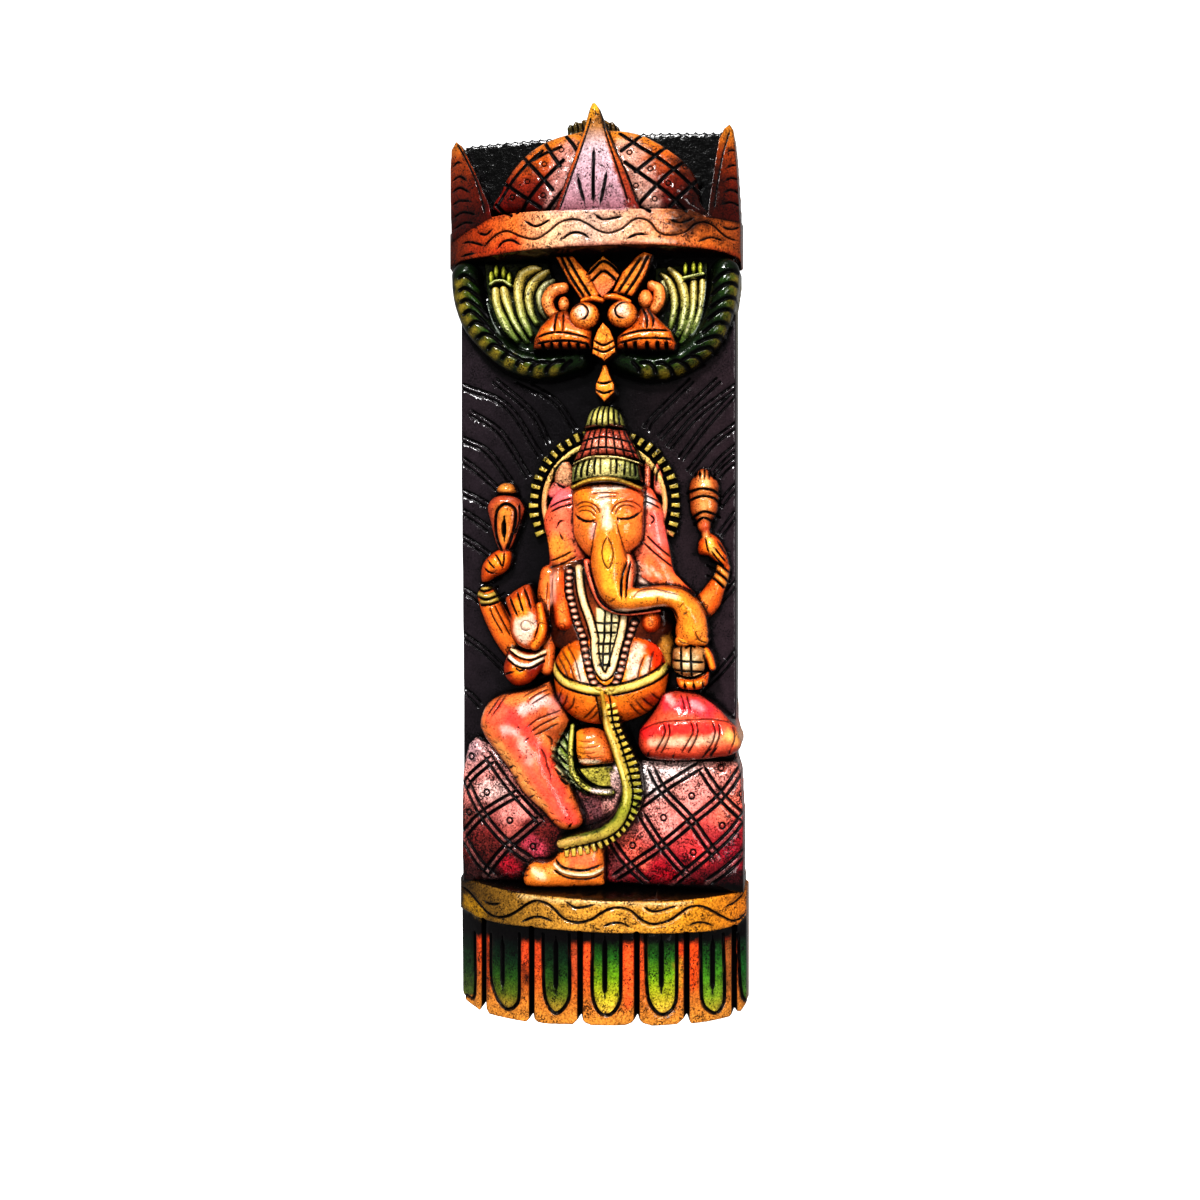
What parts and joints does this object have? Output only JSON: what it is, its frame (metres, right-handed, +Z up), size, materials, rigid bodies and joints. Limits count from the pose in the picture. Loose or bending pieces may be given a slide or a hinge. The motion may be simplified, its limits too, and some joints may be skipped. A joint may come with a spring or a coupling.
{
  "type": "carved wooden ganesh wall panel",
  "caption": "Tall carved wooden wall panel in high relief: a seated elephant-headed deity under a crowned arch, painted and lacquered, with a flat back.",
  "frame": {"origin": "on the flat back face, at the middle of the panel's height and width, where it lies against the wall", "axes": "+Z up along the panel's length, +Y out of the back into the wall, so the carved front faces -Y, +X to the viewer's right"},
  "size_m": [0.204, 0.063, 0.6105],
  "materials": {
    "painted_wood": "painted in orange, coral, crimson, ochre and green over near-black ground, antiqued and lacquered to a gloss"
  },
  "bodies": {
    "root": {"carved_panel": "painted_wood"}
  },
  "joints": []
}
